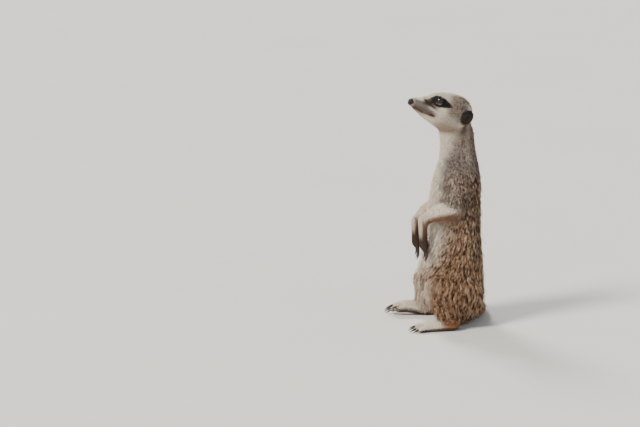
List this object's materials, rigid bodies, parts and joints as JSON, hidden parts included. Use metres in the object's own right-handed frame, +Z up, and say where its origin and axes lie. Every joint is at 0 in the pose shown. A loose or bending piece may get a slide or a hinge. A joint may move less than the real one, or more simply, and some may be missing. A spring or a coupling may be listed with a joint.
{
  "type": "meerkat sitting upright",
  "caption": "Life-size still model of a meerkat sitting upright on its rump, arms hanging in front, head raised and turned slightly, tail laid round to its right.",
  "frame": {"origin": "on the floor, under the middle of the trunk, on the flat that the rump rests on", "axes": "+Z up along the upright body, -Y the way the animal faces, +X its left side"},
  "size_m": [0.2388, 0.1252, 0.2779],
  "materials": {
    "coat_grey": "short grizzled coat, dull",
    "coat_tan": "long tan coat with brown locks, dull",
    "coat_cream": "short cream coat, dull",
    "coat_pale": "pale grey-white coat of the head, dull",
    "coat_dark": "dark brown hair, dull",
    "ear_black": "black short-haired ear, dull",
    "eye": "wet dark brown eye",
    "nose": "moist bare nose",
    "claw": "dark horn, satin"
  },
  "bodies": {
    "root": {"head": "coat_pale", "nose": "nose", "eye_left": "eye", "eye_right": "eye", "ear_left": "ear_black", "ear_right": "ear_black", "neck": "coat_grey", "chest": "coat_grey", "abdomen": "coat_tan", "upper_arm_left": "coat_grey", "forearm_left": "coat_cream", "hand_left": "coat_dark", "hand_left_claw_1": "claw", "hand_left_claw_2": "claw", "hand_left_claw_3": "claw", "hand_left_claw_4": "claw", "thigh_left": "coat_tan", "shank_left": "coat_tan", "foot_left": "coat_cream", "foot_left_claw_1": "claw", "foot_left_claw_2": "claw", "foot_left_claw_3": "claw", "foot_left_claw_4": "claw", "upper_arm_right": "coat_grey", "forearm_right": "coat_cream", "hand_right": "coat_dark", "hand_right_claw_1": "claw", "hand_right_claw_2": "claw", "hand_right_claw_3": "claw", "hand_right_claw_4": "claw", "thigh_right": "coat_tan", "shank_right": "coat_tan", "foot_right": "coat_cream", "foot_right_claw_1": "claw", "foot_right_claw_2": "claw", "foot_right_claw_3": "claw", "foot_right_claw_4": "claw", "tail_base": "coat_tan", "tail_middle": "coat_tan", "tail_tip": "coat_dark"}
  },
  "joints": []
}
